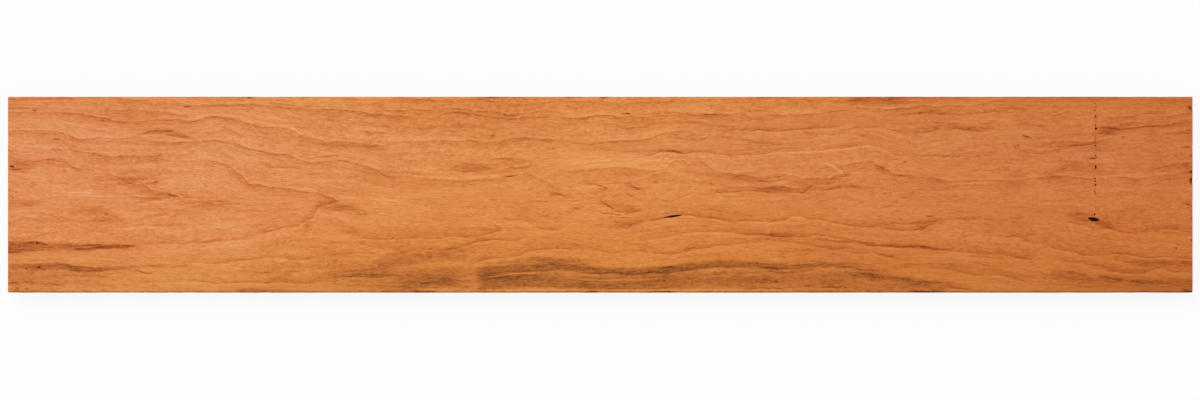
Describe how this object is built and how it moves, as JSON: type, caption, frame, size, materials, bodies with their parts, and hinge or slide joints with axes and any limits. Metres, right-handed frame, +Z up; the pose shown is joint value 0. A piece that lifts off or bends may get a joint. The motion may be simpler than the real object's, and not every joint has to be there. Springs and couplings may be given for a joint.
{
  "type": "cherry board",
  "caption": "Flat-sawn cherry board, planed and cut to length, with eased arrises, a small bark pocket, a row of pin pits and drying checks at one end.",
  "frame": {"origin": "middle of the face that the board rests on", "axes": "+X along the grain towards the end with the row of pits, +Y across the grain, +Z up through the show face"},
  "size_m": [0.9144, 0.1512, 0.0191],
  "materials": {
    "cherry_heartwood": "satin"
  },
  "bodies": {
    "root": {"cherry_board": "cherry_heartwood"}
  },
  "joints": []
}
